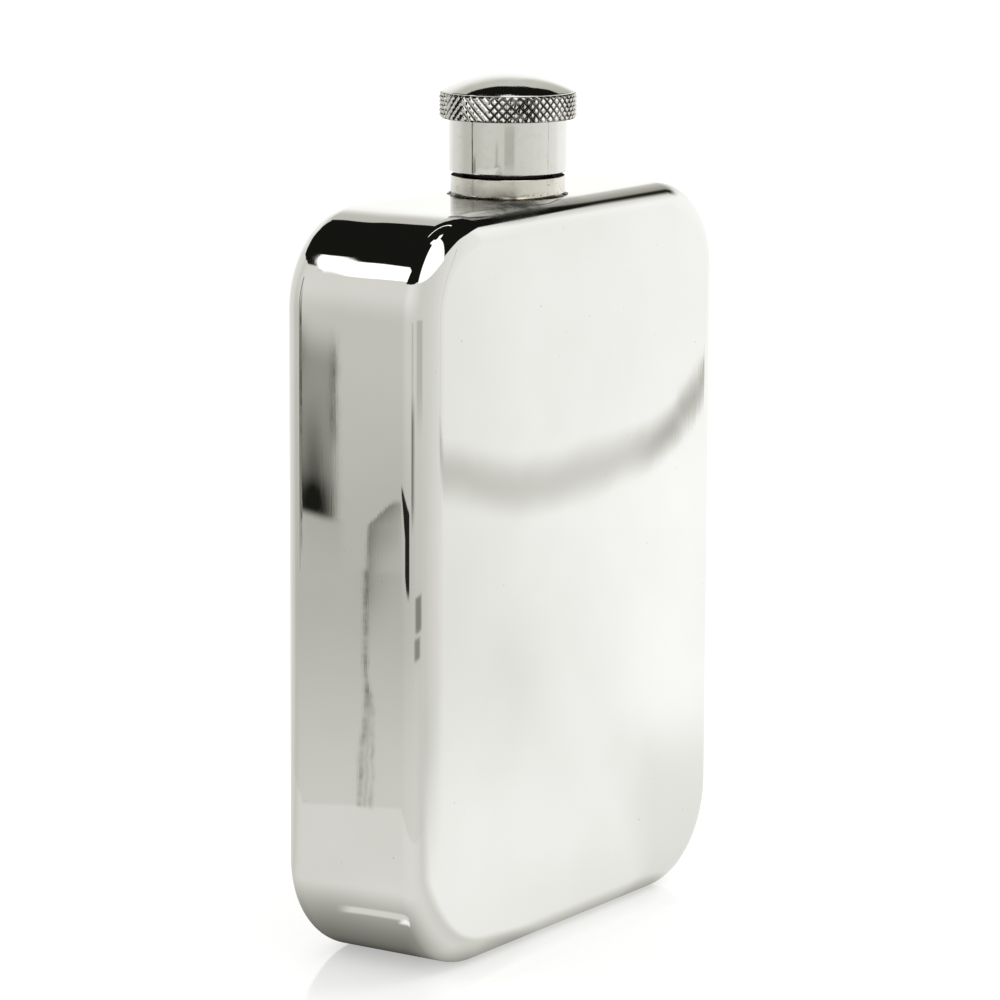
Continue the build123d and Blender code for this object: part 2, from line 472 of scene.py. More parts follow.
def make_seal_washer():
    """The soft washer, with the print of the neck's rim in it."""
    radius, bottom, top = size_of("seal_washer")
    edge = 0.25 * MM
    print_depth = 0.05 * MM
    print_slope = 0.2 * MM
    segments = 160
    pressed = bottom + print_depth
    profile = [(0, top)] + arc((radius - edge, top - edge), edge, 90, 0, 6)
    profile += arc((radius - edge, bottom + edge), edge, 0, -90, 6)
    profile += [(NECK_ROOT, bottom), (NECK_ROOT - print_slope, pressed)]
    profile += [(NECK_BORE + print_slope, pressed), (NECK_BORE, bottom), (0, bottom)]
    return turned("washer", "seal_washer", profile, "seal", "seal", segments)


def make_cap_skirt():
    """The smooth outer sleeve of the cap."""
    outer, bottom, top = size_of("cap_skirt")
    inner = outer - SKIRT_SHEET
    inside, outside = 0.1 * MM, 0.25 * MM
    corners = [(inner, bottom, inside), (outer, bottom, outside), (outer, top, 0), (inner, top, 0)]
    return turned("cap_sleeve", "cap_skirt", eased_profile(corners), "cap", "polished_cap")


def make_cap_dome():
    """The domed top of the cap, with a small rounded edge."""
    radius, bottom, top = size_of("cap_dome")
    rise = top - bottom - DOME_EDGE
    sphere = (radius**2 + rise**2) / (2 * rise)
    centre = (0, top - sphere)
    slope = math.degrees(math.asin(radius / sphere))
    almost = 0.985
    outside = arc(centre, sphere, 90, 90 - slope * almost, 60)
    edge = eased((radius, bottom + DOME_EDGE), outside[-1], (radius, bottom), DOME_ROUND)
    sheet = sphere - DOME_SHEET
    under_slope = math.degrees(math.acos((bottom - centre[1]) / sheet))
    under = arc(centre, sheet, 90 - under_slope, 90, 24)
    profile = [(0, top)] + outside[1:] + edge + [(radius - DOME_UNDERCUT, bottom)]
    profile += under[:-1] + [(0, centre[1] + sheet)]
    return turned("cap_top", "cap_dome", profile, "cap", "polished_cap")


# the diamond knurl, in half steps round and half rows up
KNURL_COUNT = 50
KNURL_ROW = 0.62 * MM
KNURL_DEPTH = 0.38 * MM
KNURL_SPLIT = 4
KNURL_ROUND = 1.5
KNURL_START = 0.2 * MM
KNURL_WEAR = 0.1
KNURL_SEED = 11
RING_CHAMFER = 0.35 * MM
RING_CLEARANCE = 0.02 * MM
RING_SHARP = 30
# where one of the two crossing cuts is shallow, in degrees: (from, to, which cut)
SHALLOW_CUTS = [(150, 172, 1), (172, 197, -1), (20, 60, -1), (300, 318, 1)]
SHALLOW_SHARE = 0.6
SHALLOW_FADE = 4


def wave(value):
    """A straight-sided wave that is 0 at whole even numbers and 1 at odd ones."""
    return 1 - abs(value % 2 - 1)


def cut_share(turn, cut):
    """How deep one of the crossing cuts is at an angle in degrees, from 0.4 to 1."""
    share = 1
    for low, high, shallow in SHALLOW_CUTS:
        if shallow == cut:
            inside = min(turn - low, high - turn) / SHALLOW_FADE
            share = min(share, 1 - SHALLOW_SHARE * min(1, max(0, inside + 0.5)))
    return share


def knurl_height(column, row, wear):
    """How proud the crossing cuts leave the ring, from 0 in a cut to 1 on a tip."""
    turn = 180 * column / KNURL_COUNT
    heights = []
    for cut in (1, -1):
        depth = cut_share(turn, cut)
        heights.append(1 - depth * (1 - wave(column + cut * row)) ** KNURL_ROUND)
    first, second = math.floor((column + row) / 2), math.floor((column - row) / 2)
    tip = 1 - wear[((first + second) % (2 * KNURL_COUNT), first - second)]
    return min(0.5 * min(heights) + 0.5 * heights[0] * heights[1], tip)


def make_knurled_ring():
    """The grip ring, cut with diamonds and chamfered at both edges."""
    radius, bottom, top = size_of("knurled_ring")
    inner = size_of("cap_skirt")[0] + RING_CLEARANCE
    columns = 2 * KNURL_COUNT * KNURL_SPLIT
    base = bottom - KNURL_START
    first = math.floor((bottom - base) / KNURL_ROW * KNURL_SPLIT)
    last = math.ceil((top - base) / KNURL_ROW * KNURL_SPLIT)
    dice = random.Random(KNURL_SEED)
    spots = [(column, row) for row in range(-3, 14) for column in range(2 * KNURL_COUNT)]
    wear = {spot: dice.uniform(0, KNURL_WEAR) for spot in spots}
    rings = []
    for step in range(first, last + 1):
        z = min(max(base + KNURL_ROW * step / KNURL_SPLIT, bottom), top)
        limit = radius - max(0, RING_CHAMFER - min(z - bottom, top - z))
        ring = []
        for k in range(columns):
            height = knurl_height(k / KNURL_SPLIT, (z - base) / KNURL_ROW, wear)
            reach = min(limit, radius - KNURL_DEPTH * (1 - height))
            turn = math.tau * k / columns
            ring.append((reach * cos(turn), reach * sin(turn), HEIGHT + z))
        rings.append(ring)
    vertices = [point for ring in rings for point in ring]
    faces = []
    for row in range(len(rings) - 1):
        for k in range(columns):
            following = (k + 1) % columns
            low, high = row * columns, (row + 1) * columns
            corners = (low + k, low + following, high + following, high + k)
            even = (k // KNURL_SPLIT + (first + row) // KNURL_SPLIT) % 2 == 0
            a, b, c, d = corners[1:] + corners[:1] if even else corners
            faces += [(a, b, d), (b, c, d)]
    for z in (top, bottom):
        vertices += circle(inner, HEIGHT + z, columns)
    outer_top = (len(rings) - 1) * columns
    inner_top = len(rings) * columns
    inner_bottom = inner_top + columns
    faces += ring_faces(columns, outer_top, inner_top)
    faces += ring_faces(columns, inner_top, inner_bottom)
    faces += ring_faces(columns, inner_bottom, 0)
    piece = make_object("grip_ring", vertices, faces, RING_SHARP)
    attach(piece, "cap")
    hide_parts("knurled_ring")
    return piece


# the painted dark reflection on the body in front of the collar's foot: how far from the neck's axis it
# reaches, and which way it lies
DARK_REFLECTION_NEAR = 16 * MM
DARK_REFLECTION_FAR = 30 * MM
DARK_REFLECTION_TURN = radians(56.7)
# the stretches of the solder bead left without painted shade, in degrees: (middle, half width), and their
# soft ends
UNSHADED_SOLDER = [(176, 8), (-123, 14), (60, 20)]
UNSHADED_FADE = 3
# dark dirt and painted shade: their colour and dullness, the colour of thin grime, and how black dirt and
# painted shade dull the gloss
DIRT_AND_SHADE_COLOUR = (0.05, 0.046, 0.038)
DIRT_AND_SHADE_DULL = 0.35
DIRT_AND_SHADE_GLOSS = (0.03, 0.03, 0.03)
GRIME_COLOUR = (0.2, 0.18, 0.15)
# how fine the patterns in the metal are, per metre
CLOUD_SCALE = 45
SWELL_SCALE = 85
SMUDGE_SCALE = 130
GRIME_SCALE = 700
SPECK_SCALE = 1500
SCRATCH_STRETCH = (900, 900, 60)
# the painted shade in the gap lies between the thread and just inside the sleeve
GAP_SHADE_FULL = 8.12 * MM
GAP_SHADE_END = 8.2 * MM


def material(name):
    """A new material with an empty node tree, and the tree."""
    made = bpy.data.materials.new(name)
    made.use_nodes = True
    tree = made.node_tree
    tree.nodes.clear()
    return made, tree


def surface(tree, shader):
    """Links a shader to the material's output."""
    output = add(tree, "OutputMaterial")
    tree.links.new(shader.outputs[0], output.inputs[0])


def add(tree, kind, inputs=None, **settings):
    """A node with its settings and inputs: a value sets a socket and a socket is linked to it."""
    node = tree.nodes.new("ShaderNode" + kind)
    for key, value in settings.items():
        setattr(node, key, value)
    for key, value in (inputs or {}).items():
        if isinstance(value, bpy.types.NodeSocket):
            tree.links.new(value, node.inputs[key])
        else:
            node.inputs[key].default_value = value
    return node


def blended(share, low, high):
    """A colour between two, by a share."""
    tree = share.id_data
    mix = add(tree, "Mix", data_type="RGBA")
    tree.links.new(share, mix.inputs[0])
    for socket, value in ((mix.inputs[6], low), (mix.inputs[7], high)):
        if isinstance(value, bpy.types.NodeSocket):
            tree.links.new(value, socket)
        else:
            socket.default_value = (*value, 1)
    return mix.outputs[2]


def ramped(value, low, high, from_low=0.0, from_high=1.0):
    """A value mapped smoothly from one range to another."""
    inputs = {0: value, 1: from_low, 2: from_high, 3: low, 4: high}
    return add(value.id_data, "MapRange", inputs, interpolation_type="SMOOTHSTEP").outputs[0]


def noise_of(place, scale, detail=2.0, roughness=0.5, distortion=0.0):
    """A noise pattern's value at a place, with its scale per metre."""
    inputs = {"Vector": place, "Scale": scale, "Detail": detail}
    inputs.update({"Roughness": roughness, "Distortion": distortion})
    return add(place.id_data, "TexNoise", inputs).outputs[0]


def metal(name, light, dark, polish, worn, waves=0.0, scratches=0.0, grime=0.0, dirt_and_shade=None):
    """A bare metal: cloudy tint, smudged polish, hairline scratches and a slightly uneven surface.

    The last argument may give, for every place, a share of dark, dull colour: real dirt, or painted shade
    and painted dark reflections."""
    made, tree = material(name)
    place = add(tree, "TexCoord").outputs["Object"]
    clouds = noise_of(place, CLOUD_SCALE, 3)
    specks = noise_of(place, SPECK_SCALE, 2, 0.6)
    pits = ramped(specks, 0, 1, 0.75, 0.8)
    tint = blended(ramped(clouds, 0, 1, 0.35, 0.7), light, dark)
    tint = blended(pits, tint, tuple(0.5 * c for c in dark))
    smudges = noise_of(place, SMUDGE_SCALE, 4, 0.65, 0.6)
    rough = ramped(smudges, polish, worn, 0.4, 0.8)
    if grime:
        dirt = ramped(noise_of(place, GRIME_SCALE, 4, 0.7), 0, grime, 0.5, 0.75)
        tint = blended(dirt, tint, GRIME_COLOUR)
    if dirt_and_shade:
        # dark, dull colour for real dirt and for painted shade and painted dark reflections
        share = dirt_and_shade(place)
        tint = blended(share, tint, DIRT_AND_SHADE_COLOUR)
        duller = {0: share, 1: DIRT_AND_SHADE_DULL, 2: rough}
        rough = add(tree, "Math", duller, operation="MULTIPLY_ADD").outputs[0]
    bump = None
    if waves:
        swell = noise_of(place, SWELL_SCALE, 1.5, 0.4)
        bump = add(tree, "Bump", {"Height": swell, "Distance": 0.001, "Strength": waves})
    if scratches:
        stretched = add(tree, "Mapping", {"Vector": place, "Scale": SCRATCH_STRETCH})
        fine = noise_of(stretched.outputs[0], 3.0, 3, 0.7)
        inputs = {"Height": fine, "Distance": 0.0001, "Strength": scratches}
        if bump:
            inputs["Normal"] = bump.outputs[0]
        bump = add(tree, "Bump", inputs)
    inputs = {"Base Color": tint, "Roughness": rough, "Metallic": 1.0}
    if dirt_and_shade:
        # the same share darkens the gloss at grazing angles, for dirt and painted shade alike
        inputs["Specular Tint"] = blended(share, (1, 1, 1), DIRT_AND_SHADE_GLOSS)
    if bump:
        inputs["Normal"] = bump.outputs[0]
    surface(tree, add(tree, "BsdfPrincipled", inputs))
    return made


def maths(operation, first, second=0.0):
    """The result of an operation on two values."""
    return add(first.id_data, "Math", {0: first, 1: second}, operation=operation).outputs[0]


def product(first, *others):
    """Values multiplied together."""
    for other in others:
        first = maths("MULTIPLY", first, other)
    return first


def axes_of(place):
    """A place's X, Y and Z."""
    return add(place.id_data, "SeparateXYZ", {0: place}).outputs


def seam_line(place):
    """The darkened hairline of solder along the back seam, up the sides."""
    axes = axes_of(place)
    off = maths("ABSOLUTE", maths("SUBTRACT", axes[1], SEAM_Y))
    hairline = ramped(off, 1, 0, 0.04 * MM, 0.22 * MM)
    high = ramped(axes[2], 0, 1, 0.54 * HEIGHT, 0.62 * HEIGHT)
    low = ramped(axes[2], 1, 0, 0.86 * HEIGHT, 0.92 * HEIGHT)
    patchy = ramped(noise_of(place, 160, 3, 0.6), 0.25, 0.95, 0.35, 0.6)
    return product(product(hairline, patchy), product(high, low))


def reach_of(axes):
    """How far a place is from the neck's axis."""
    square = product(axes[0], axes[0])
    total = maths("MULTIPLY_ADD", axes[1], axes[1])
    square.id_data.links.new(square, total.node.inputs[2])
    return maths("SQRT", total)


def across_dark_reflection(axes):
    """How far a place is to one side of the middle line of the painted dark reflection."""
    first, second = product(axes[0], cos(DARK_REFLECTION_TURN)), product(axes[1], sin(DARK_REFLECTION_TURN))
    return maths("SUBTRACT", first, second)


def along_dark_reflection(axes):
    """How far a place is out from the neck along the middle line of the painted dark reflection."""
    first, second = product(axes[0], -sin(DARK_REFLECTION_TURN)), product(axes[1], cos(DARK_REFLECTION_TURN))
    return maths("SUBTRACT", first, second)


def seam_line_and_dark_reflection(place):
    """The seam's hairline, and a patchy painted dark reflection in front of the collar's foot."""
    axes = axes_of(place)
    # painted dark reflection: darker near the neck, in a strip before the collar on one side, close to the
    # top
    near = ramped(reach_of(axes), 1, 0.2, DARK_REFLECTION_NEAR, DARK_REFLECTION_FAR)
    across = across_dark_reflection(axes)
    deeper = ramped(across, 0.3, 0.75, -6 * MM, 0)
    left_end = ramped(across, 0, 1, -8 * MM, -7.5 * MM)
    right_end = ramped(across, 1, 0.25, 1.5 * MM, 7 * MM)
    before = ramped(along_dark_reflection(axes), 0, 1, 1 * MM, 6 * MM)
    strip = product(left_end, right_end, deeper, before)
    top = ramped(axes[2], 0, 1, HEIGHT - 2.5 * MM, HEIGHT - 0.4 * MM)
    cloudy = ramped(noise_of(place, 420, 3, 0.6), 0.65, 1, 0.35, 0.6)
    return maths("MAXIMUM", seam_line(place), product(near, strip, top, cloudy))


def painted_groove_shade(place):
    """Painted shade, black and patchy, down in the knurl's cuts."""
    axes = axes_of(place)
    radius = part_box("knurled_ring")[1].x
    deep = radius - 0.8 * KNURL_DEPTH
    low = ramped(reach_of(axes), 0.95, 0, deep, radius - 0.45 * KNURL_DEPTH)
    patchy = ramped(noise_of(place, 260, 3, 0.6), 0.35, 1, 0.35, 0.6)
    return product(low, patchy)


def painted_bead_shade(place):
    """Painted shade, black and patchy, on the solder bead, which leaves some stretches unshaded."""
    axes = axes_of(place)
    angle = maths("ARCTAN2", axes[1], axes[0])
    share = None
    for middle, half in UNSHADED_SOLDER:
        off = maths("ABSOLUTE", maths("SUBTRACT", angle, radians(middle)))
        edges = [radians(half - UNSHADED_FADE), radians(half + UNSHADED_FADE)]
        shaded = ramped(off, 0, 0.92, *edges)
        share = product(share, shaded) if share else shaded
    patchy = ramped(noise_of(place, 500, 3, 0.6), 0.55, 1, 0.4, 0.6)
    return product(share, patchy)


def painted_gap_shade(place):
    """Painted shade in the gap between the collar and the cap."""
    axes = axes_of(place)
    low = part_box("neck_collar")[1].z
    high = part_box("cap_skirt")[0].z
    above_collar = ramped(axes[2], 0, 1, low - 0.05 * MM, low)
    below_cap = ramped(axes[2], 1, 0, high + 0.05 * MM, high + 0.3 * MM)
    inside = ramped(reach_of(axes), 1, 0, GAP_SHADE_FULL, GAP_SHADE_END)
    return product(above_collar, below_cap, inside)


def collar_scuffs_and_shade(place):
    """Painted shade in the gap, a painted dark reflection band on one side, scuffs, and painted shade round
    the collar's foot.
    """
    axes = axes_of(place)
    # painted shade, patchy, low on the collar where it meets the body
    foot = ramped(axes[2], 1, 0, HEIGHT + 0.2 * MM, HEIGHT + 1.0 * MM)
    patchy = ramped(noise_of(place, 900, 4, 0.7), 0, 0.9, 0.5, 0.68)
    scuffs = ramped(noise_of(place, 1300, 3, 0.6, 1.5), 0, 0.35, 0.62, 0.72)
    foot_shade = product(foot, patchy)
    # a painted dark reflection band on one side of the collar, darker lower down
    across = across_dark_reflection(axes)
    left_end = ramped(across, 0.2, 1, -8 * MM, -4.5 * MM)
    right_end = ramped(across, 1, 0, 0.6 * MM, 2.5 * MM)
    dark_band = ramped(axes[2], 0.34, 0.1, HEIGHT + 0.8 * MM, HEIGHT + 2.2 * MM)
    dark_band = product(left_end, right_end, dark_band)
    foot_shade = maths("MAXIMUM", foot_shade, dark_band)
    worst = maths("MAXIMUM", painted_gap_shade(place), foot_shade)
    return maths("MAXIMUM", worst, scuffs)


def soft_material(name, light, dark, rough):
    """A dull material with a mottled colour and a fine grain."""
    made, tree = material(name)
    place = add(tree, "TexCoord").outputs["Object"]
    mottle = noise_of(place, 400, 4, 0.6)
    tint = blended(mottle, light, dark)
    grain = noise_of(place, 2500, 3)
    bump = add(tree, "Bump", {"Height": grain, "Distance": 0.0001, "Strength": 0.5})
    roughness = ramped(mottle, rough - 0.1, rough + 0.1)
    inputs = {"Base Color": tint, "Roughness": roughness, "Normal": bump.outputs[0]}
    surface(tree, add(tree, "BsdfPrincipled", inputs))
    return made


def dress(made, *pieces):
    """Gives pieces one material."""
    for piece in pieces:
        piece.data.materials.clear()
        piece.data.materials.append(made)


front = face_shell("front_face", "front_shell", -1)
back = face_shell("back_face", "back_shell", 1)
band = make_side_band()
neck = make_neck_tube()
liner = make_thread_liner()
collar = make_neck_collar()
solder = make_collar_solder()
washer = make_seal_washer()
skirt = make_cap_skirt()
dome = make_cap_dome()
grip = make_knurled_ring()

seams = [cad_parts[node] for node in ("front_seam_solder", "back_seam_solder")]
# (pieces, name, tint, darker tint, polish, worn polish, waves, scratches, grime, dirt and painted shade)
METALS = [
    # the body: a seam hairline and a painted dark reflection before the collar
    ([front, back, band], "mirror_polish", (0.9, 0.9, 0.89), (0.87, 0.87, 0.855),
     0.012, 0.04, 0.012, 0.004, 0, seam_line_and_dark_reflection),
    ([skirt, dome], "cap_polish", (0.88, 0.88, 0.86), (0.82, 0.82, 0.79), 0.02, 0.07, 0.012, 0.03, 0.12),
    # the collar: scuffs, with painted shade and a painted dark reflection band
    ([collar], "collar", (0.85, 0.85, 0.82), (0.79, 0.77, 0.7), 0.05, 0.14, 0.02, 0.06, 0.25, collar_scuffs_and_shade),
    # the grip: painted shade down in its cuts
    ([grip], "grip", (0.88, 0.88, 0.85), (0.8, 0.79, 0.75), 0.02, 0.06, 0, 0, 0.35, painted_groove_shade),
    # the neck and liner: painted shade in the gap under the cap
    ([neck, liner], "turned_neck", (0.78, 0.78, 0.76), (0.66, 0.65, 0.62), 0.14, 0.26, 0, 0.2, 0, painted_gap_shade),
    # the solder bead: painted shade, with some stretches left unshaded
    ([solder], "solder", (0.9, 0.87, 0.78), (0.7, 0.65, 0.54), 0.08, 0.25, 0, 0.3, 0.3, painted_bead_shade),
    (seams, "seam_solder", (0.88, 0.86, 0.8), (0.76, 0.73, 0.64), 0.08, 0.2, 0, 0.1, 0.3),
]
for pieces, name, *look in METALS:
    dress(metal(name, *look), *pieces)
dress(soft_material("seal", (0.74, 0.71, 0.64), (0.6, 0.56, 0.49), 0.7), washer)


# the tent that only reflections see: a round white wall, a ceiling and a floor. Its angles are in
# degrees. A rise runs up the wall and on over the ceiling, and is below 0 out on the floor.
TENT_RADIUS = 0.33
TENT_HEIGHT = 0.5
TENT_FLOOR = -0.0002
TENT_SOFTBOX = 1.4
TENT_DARK = 0.008


def ramp(value, low, high):
    """0 below low, 1 above high, and smooth between."""
    share = np.clip((value - low) / (high - low), 0, 1)
    return share * share * (3 - 2 * share)


def drop(value, low, high):
    """1 below low, 0 above high, and smooth between."""
    return 1 - ramp(value, low, high)


def bell(value, middle, width):
    """A smooth hump that is 1 at the middle."""
    return np.exp(-(((value - middle) / width) ** 2))


def line(away, half_width):
    """1 on a line and 0 from a half width away from it."""
    return np.maximum(0, 1 - abs(away) / half_width)


def around(angle, keys):
    """A value at angles in degrees, blended round the circle between (angle, value) keys."""
    keys = sorted((key % 360, value) for key, value in keys)
    keys = [(keys[-1][0] - 360, keys[-1][1])] + keys + [(keys[0][0] + 360, keys[0][1])]
    turned_angle = angle % 360
    result = np.full(np.shape(angle), keys[0][1], dtype=float)
    for (low, first), (high, second) in zip(keys, keys[1:]):
        result += (second - first) * ramp(turned_angle, low, high)
    return result


def off_angle(angle, middle):
    """How far angles in degrees are from a middle one, from -180 to 180."""
    return (angle - middle + 180) % 360 - 180


def patch(angle, rise, angles, rises, soft_angle, soft_rise):
    """1 inside a patch of the tent, 0 outside, with soft edges."""
    away = abs(off_angle(angle, (angles[0] + angles[1]) / 2)) - (angles[1] - angles[0]) / 2
    inside = drop(away, -soft_angle, soft_angle)
    low = ramp(rise, rises[0] - soft_rise, rises[0] + soft_rise)
    high = drop(rise, rises[1] - soft_rise, rises[1] + soft_rise)
    return inside * low * high


def sector(angle, low, high, soft):
    """1 for angles between low and high, 0 outside, with soft ends."""
    away = abs(off_angle(angle, (low + high) / 2)) - (high - low) / 2
    return drop(away, -soft, soft)


def ripple(value, seed):
    """A smooth uneven wave between about -1 and 1."""
    total = 0
    for number, (pace, size) in enumerate(((1, 0.5), (2.3, 0.3), (4.9, 0.2))):
        total = total + size * np.sin(value * pace + seed * (number + 1.7) * 2.9)
    return total


# by angle: how bright the wall's cloth is, how high it ends, and how bright the floor is
CLOTH_LIGHT = [
    (34, 1.04), (60, 0.92), (90, 0.74), (98, 0.72), (125, 0.55), (147, 0.58), (175, 0.66), (214, 0.64),
    (240, 0.675), (256, 0.7), (272, 0.74), (301, 0.81), (319, 0.86), (325, 0.94), (333, 1.0), (0, 1.02),
]
CLOTH_TOP = [
    (-40, 0.31), (-20, 0.3), (-14, 0.3), (-4, 0.318), (4, 0.325), (13, 0.365), (22, 0.44), (32, 0.475),
    (42, 0.46), (54, 0.44), (62, 0.45), (73, 0.35), (83, 0.29), (97, 0.27), (112, 0.3), (127, 0.33),
    (135, 0.333), (137.5, 0.323), (140.8, 0.292), (142.6, 0.278), (150, 0.268), (165, 0.28),
    (180, 0.29), (195, 0.31), (220, 0.33), (270, 0.34), (300, 0.34),
]
FLOOR_LIGHT = [
    (34, 1.0), (70, 0.88), (98, 0.68), (125, 0.5), (147, 0.5), (180, 0.55), (214, 0.6), (234, 0.63),
    (256, 0.69), (272, 0.73), (301, 0.8), (319, 0.85), (324, 0.94), (330, 1.05),
]
# softboxes, bands and streaks: (angles, rises, light, soft angle, soft rise)
TENT_PATCHES = [
    ((198, 274), (0.3, 0.79), TENT_SOFTBOX, 1.5, 0.006),
    ((150, 320), (0.755, 0.8), TENT_SOFTBOX, 4, 0.006),
    ((0, 84), (0.632, 0.648), TENT_SOFTBOX, 2, 0.004),
    ((207, 226), (0.033, 0.068), 0.5, 2.5, 0.007),
    ((139.0, 141.6), (0.0, 0.24), 0.1, 0.5, 0.01),
    ((297.9, 298.7), (0.0, 0.24), 0.38, 0.3, 0.01),
    ((188.5, 199), (0.0125, 0.035), 0.36, 3, 0.004),
    ((189.3, 194.3), (0.0125, 0.036), 0.2, 1.8, 0.005),
    ((189.3, 194.3), (0.036, 0.054), 0.5, 1.8, 0.006),
    ((203, 223), (-0.055, -0.019), 0.25, 5, 0.002),
    ((200, 218), (-0.08, -0.06), 0.27, 5, 0.002),
    ((168, 186), (-0.2892, -0.2864), 0.7, 2, 0.0006),
    ((182, 186), (-0.2905, -0.2885), 1.0, 0.8, 0.0006),
]

# the share of light left high on the wall by angle, and where it sets in
HIGH_LIGHT = [
    (-30, 1), (-18, 0.75), (-14, 0.3), (-11, 0.03), (-7, 0), (-4, 0.05), (0, 0.35), (4, 0.45),
    (10, 0.62), (17, 0.9), (24, 1),
]
HIGH_FADE = (0.2, 0.27)
# the greyer upper wall beyond the dome: where it lies and how high it starts
DIM_SECTOR = (4, 70, 16)
DIM_START = [(0, 0.12), (20, 0.12), (30, 0.22), (45, 0.23), (60, 0.24), (80, 0.26)]
DIM_FADE = 0.14
DIM_SHARE = 0.42
# beside the narrow side the wall gets lighter upwards
GLOW_SECTOR = (120, 200, 30)
GLOW_FADE = (0.04, 0.2)
GLOW_SHARE = 0.25
# the wall's foot is as bright as the floor
FOOT_FADE = (0.004, 0.045)
CLOTH_EDGE = 0.004
# the soft fold of the backdrop before the broad face: (angle, height)
FOLD = [
    (-66, 0.022), (-59, 0.018), (-47, 0.013), (-39, 0.0105), (-38, 0.0082), (-37, 0.0073),
    (-35, 0.0098), (-33.5, 0.013), (-31.1, 0.0165), (-30.2, 0.0215), (-29.8, 0.028), (-29.4, 0.036),
    (-29, 0.05),
]


def hang(light, angle, rise):
    """The tent's light with its patches laid over it."""
    for angles, rises, value, soft_angle, soft_rise in TENT_PATCHES:
        share = patch(angle, rise, angles, rises, soft_angle, soft_rise)
        light = light + (value - light) * share
    return light


def between(value, table):
    """A value read off a table of (place, value) pairs with straight lines between them."""
    places, values = zip(*table)
    return np.interp(value, places, values)


# the long softbox over the narrow side, with a leaning left edge
STRIP_LEFT, STRIP_RIGHT = 128.3, 149
STRIP_LEAN = 104
STRIP_LOW, STRIP_HIGH = 0.277, 0.424
STRIP_STEP, STRIP_SLOPE = 4.3, 0.0064


def high_strip(light, angle, rise):
    """The tent's light with the long softbox over it."""
    left = STRIP_LEFT + STRIP_LEAN * (0.41 - rise)
    top = STRIP_HIGH - STRIP_SLOPE * np.clip(angle - STRIP_LEFT + 0.1, 0, STRIP_STEP)
    inside = ramp(angle, left - 0.15, left + 0.25)
    inside = inside * drop(angle, STRIP_RIGHT - 0.8, STRIP_RIGHT + 0.8)
    inside = inside * ramp(rise, STRIP_LOW - 0.003, STRIP_LOW + 0.003)
    inside = inside * drop(rise, top - CLOTH_EDGE, top + CLOTH_EDGE)
    return light + (TENT_SOFTBOX - light) * inside


# the dark smudge low on the wall
SMUDGE_LEFT = 146.8
SMUDGE_SIDES = (139, 148.0)
SMUDGE_CORE = 147.2
SMUDGE_RIM = 147.9
SMUDGE_FOOT = 0.0114
SMUDGE_SLOPE = 0.0016
SMUDGE_TALL = 0.034
SMUDGE_MOST = 0.98


def smudge(angle, rise):
    """The light left by the smudge. up is 0 at its foot and 1 at its top."""
    foot = SMUDGE_FOOT - SMUDGE_SLOPE * np.clip(angle - SMUDGE_LEFT, 0, 1.1)
    up = (rise - foot) / SMUDGE_TALL
    window = ramp(up, -0.03, 0.03) * drop(up, 0.92, 1.2)
    side = sector(angle, *SMUDGE_SIDES, 0.1 + 0.15 * (1 - np.clip(up, 0, 1)))
    core = bell(angle, SMUDGE_CORE, 0.4 + 0.35 * drop(up, 0.05, 0.4))
    fade = 0.42 * drop(up, 0.1, 0.85) + 0.2 * drop(up, 0.08, 0.28)
    rim = 0.36 * bell(angle, SMUDGE_RIM, 0.09) * ramp(up, 0.4, 0.65)
    back = 0.7 * bell(angle, SMUDGE_LEFT - 0.5, 0.28)
    tail = 0.13 * sector(angle, SMUDGE_LEFT, 148.2, 0.2) * (up < 0) * np.exp(-abs(up) / 0.25)
    corner = 0.34 * bell(angle, SMUDGE_LEFT - 0.1, 0.32) * drop(rise, 0.046, 0.0545)
    corner = corner * ramp(rise, 0.036, 0.045) * sector(angle, 146.6, 149, 0.3)
    depth = np.clip((0.45 + core * fade + rim + back) * side, 0, SMUDGE_MOST)
    return (1 - tail) * (1 - corner) * (1 - window * depth)


# where the crease in the floor cloth runs up the wall and ends in a point
HEAD_LEFT, HEAD_RIGHT = 149.2, 150.4
HEAD_LEAN = 0.9
HEAD_BEND, HEAD_TALL = 0.0083, 0.013
HEAD_DEPTH = 0.6


def crease_head(angle, rise):
    """The light left by the crease's head."""
    edge = HEAD_LEFT + HEAD_LEAN * np.clip((rise - HEAD_BEND) / (HEAD_TALL - HEAD_BEND), 0, 1)
    width = 0.35 + 0.6 * ramp(rise, 0, 0.009)
    inside = ramp(angle, edge - 0.04, edge + 0.04)
    inside = inside * np.exp(-np.maximum(0, angle - edge) / width)
    tip = drop(rise, 0.0125, 0.0138)
    return 1 - HEAD_DEPTH * inside * tip * drop(angle, HEAD_RIGHT - 0.4, HEAD_RIGHT + 0.4)


# the black wedge beside it, and the stem that it runs down into
WEDGE_LEFT, WEDGE_RIGHT = 150, 181
WEDGE_TOP, WEDGE_TOP_SLOPE = 0.0168, 0.00013
WEDGE_FOOT, WEDGE_FOOT_SLOPE = 0.016, 0.0006
WEDGE_DEPTH = 0.97
STEM_LEFT, STEM_RIGHT = 165, 181.5
STEM_NARROWS = 8
STEM_LONG = 0.026


